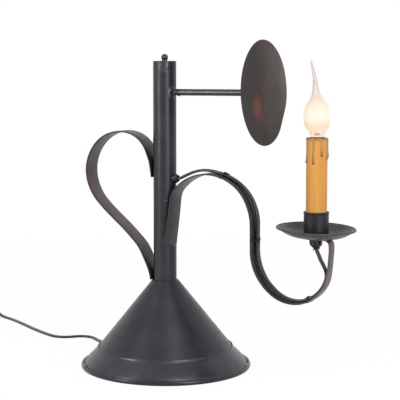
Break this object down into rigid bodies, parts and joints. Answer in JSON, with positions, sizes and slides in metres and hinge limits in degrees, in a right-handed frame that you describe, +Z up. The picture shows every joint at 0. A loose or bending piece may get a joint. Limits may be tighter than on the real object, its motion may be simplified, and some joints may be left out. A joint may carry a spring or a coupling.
{
  "type": "accent lamp",
  "caption": "Primitive-style black tin accent lamp: cone base with strap handle, curved strap arm with an electric candle on a drip pan, dished reflector on a rod, supply cord.",
  "frame": {"origin": "centre of the base on the floor, on the column's axis", "axes": "+Z up along the column, +X along the arm to the candle, +Y to the back"},
  "size_m": [0.7441, 0.3022, 0.3605],
  "materials": {
    "black_paint": "satin black paint over tin and steel",
    "zinc_steel": "zinc-plated, dull",
    "grey_felt": "pressed felt",
    "raw_iron": "as cast",
    "black_rubber": "moulded, matt",
    "black_lead": "flat twin lead sheath",
    "brass_plain": "plain brass",
    "bulb_brass": "rolled screw cap",
    "phenolic": "moulded socket insulator",
    "black_phenolic": "moulded switch case",
    "tan_resin": "resin with aged wax drips",
    "cream_silicone": "dipped silicone over glass, lit"
  },
  "bodies": {
    "lamp": {"base_cone": "black_paint", "base_skirt": "black_paint", "base_plate": "zinc_steel", "felt_pad": "grey_felt", "ballast_weight": "raw_iron", "base_screw": "zinc_steel", "column_foot_plug": "zinc_steel", "column_tube": "black_paint", "column_cap": "black_paint", "ball_finial": "black_paint", "arm_strap": "black_paint", "handle_strap": "black_paint", "column_bushing": "black_rubber", "column_lead": "black_lead", "arm_lead": "black_lead", "lead_ties": "black_rubber", "lead_relief": "black_rubber", "reflector_stub": "black_paint", "drip_pan": "black_paint", "candle_cup": "black_paint", "candle_nipple": "brass_plain", "cup_nut": "brass_plain", "socket_bracket": "zinc_steel", "socket_body": "phenolic", "socket_shell": "brass_plain", "socket_contact": "brass_plain", "socket_wires": "black_lead", "candle_sleeve": "tan_resin", "base_bushing": "black_rubber", "supply_cord": "black_lead", "switch_cord": "black_lead", "cord_coil": "black_lead", "coil_tie": "black_rubber", "plug_body": "black_rubber", "plug_blades": "brass_plain", "switch_base": "black_phenolic", "switch_cover": "black_phenolic"},
    "reflector": {"reflector_rod": "black_paint", "reflector_boss": "black_paint", "reflector_disc": "black_paint"},
    "bulb": {"bulb_tip": "brass_plain", "bulb_cap": "bulb_brass", "bulb_flame": "cream_silicone"},
    "wheel": {"switch_wheel": "black_phenolic"}
  },
  "joints": [
    {"name": "reflector_turn", "type": "hinge", "parent": "lamp", "child": "reflector", "pos_m": [0.0208, 0, 0.3038], "axis": [1, 0, 0], "continuous": true},
    {"name": "bulb_unscrew", "type": "slide", "parent": "lamp", "child": "bulb", "axis": [0, 0, 1], "range_m": [0, 0.02]},
    {"name": "switch_wheel_turn", "type": "hinge", "parent": "lamp", "child": "wheel", "pos_m": [-0.3856, 0.14152, 0.007], "axis": [0, 0, 1], "continuous": true}
  ]
}
